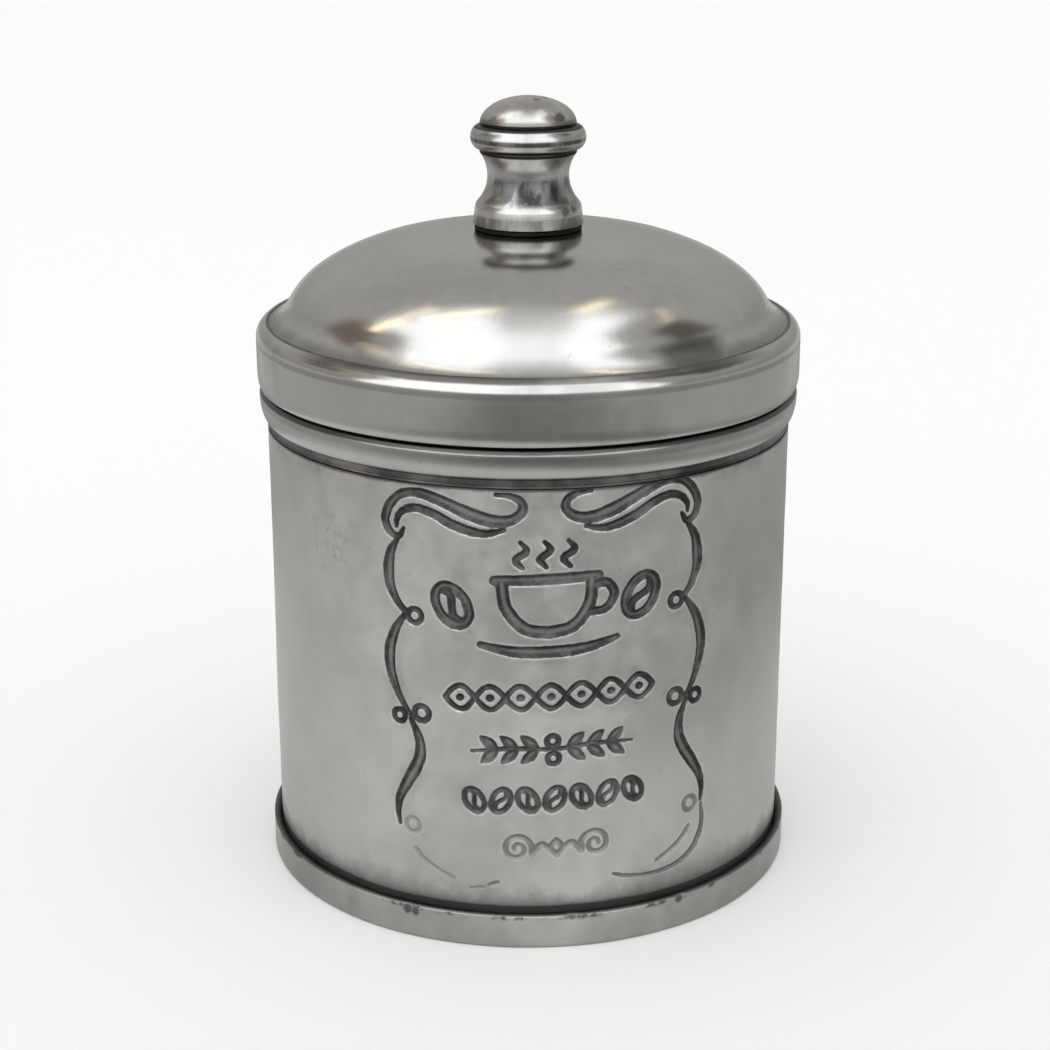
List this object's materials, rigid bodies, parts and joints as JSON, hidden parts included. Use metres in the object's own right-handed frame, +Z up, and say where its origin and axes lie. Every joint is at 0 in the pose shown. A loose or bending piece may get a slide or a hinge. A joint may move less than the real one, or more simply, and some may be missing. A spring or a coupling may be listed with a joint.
{
  "type": "coffee tin",
  "caption": "Round pewter canister with a beaded neck, moulded foot, lift-off domed lid and turned knob, for keeping ground coffee.",
  "frame": {"origin": "centre of the underside, on the surface the tin stands on", "axes": "+Z up along the tin's axis of turning, -Y towards the engraved front, +X to the right seen from the front"},
  "size_m": [0.1032, 0.1033, 0.148],
  "materials": {
    "satin_pewter": "satin, antiqued dark in its grooves and engraving",
    "polished_pewter": "polished, softly worn",
    "inner_tin": "plain dull tinned sheet",
    "seal_rubber": "matte",
    "washer_fibre": "matte black",
    "plain_steel": "plain zinc-bright"
  },
  "bodies": {
    "canister": {"foot_ring": "satin_pewter", "base_disc": "inner_tin", "body_wall": "satin_pewter", "neck_collar": "polished_pewter"},
    "seal": {"lid_seal": "seal_rubber"},
    "lid": {"lid_skirt": "polished_pewter", "lid_dome": "polished_pewter", "knob_washer": "washer_fibre", "knob": "polished_pewter", "screw_washer": "plain_steel", "knob_screw": "plain_steel"}
  },
  "joints": [
    {"name": "lid_lift", "type": "slide", "parent": "canister", "child": "seal", "axis": [0, 0, 1], "range_m": [0, 0.1]},
    {"name": "lid_turn", "type": "hinge", "parent": "seal", "child": "lid", "pos_m": [0, 0, 0.1], "axis": [0, 0, 1], "continuous": true}
  ]
}
